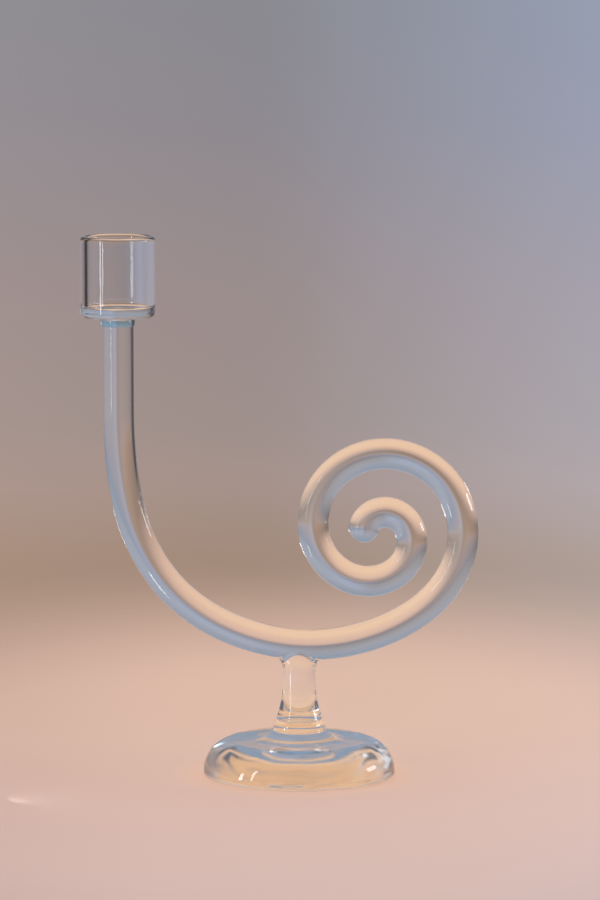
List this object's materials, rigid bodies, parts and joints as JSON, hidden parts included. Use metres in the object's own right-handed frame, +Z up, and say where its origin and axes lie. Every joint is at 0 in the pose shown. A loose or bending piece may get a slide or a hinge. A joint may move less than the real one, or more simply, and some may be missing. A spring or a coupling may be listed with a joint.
{
  "type": "candlestick",
  "caption": "Clear glass candlestick: a tubular candle cup on a bent rod that runs under and curls up into a scroll, on a short flared stem and a domed round foot.",
  "frame": {"origin": "centre of the foot's flat underside, on the stem's axis", "axes": "+Z up; +X from the candle arm towards the scroll; -Y towards a viewer who sees the candle cup on the left; the bent rod lies in the plane y = 0"},
  "size_m": [0.152, 0.074, 0.2075],
  "materials": {
    "foot_glass": "clear colourless glass, flame polished, slightly wavy hand-worked surface",
    "stem_glass": "clear colourless glass, flame polished, seal lines at both ends",
    "rod_glass": "clear colourless drawn glass rod, flame polished, smooth",
    "cup_glass": "clear colourless drawn glass tube with faint draw lines, fire-polished rim"
  },
  "bodies": {
    "root": {"foot": "foot_glass", "stem_base": "stem_glass", "stem": "stem_glass", "scroll_rod": "rod_glass", "cup_collar": "rod_glass", "cup_base": "cup_glass", "cup_tube": "cup_glass"}
  },
  "joints": []
}
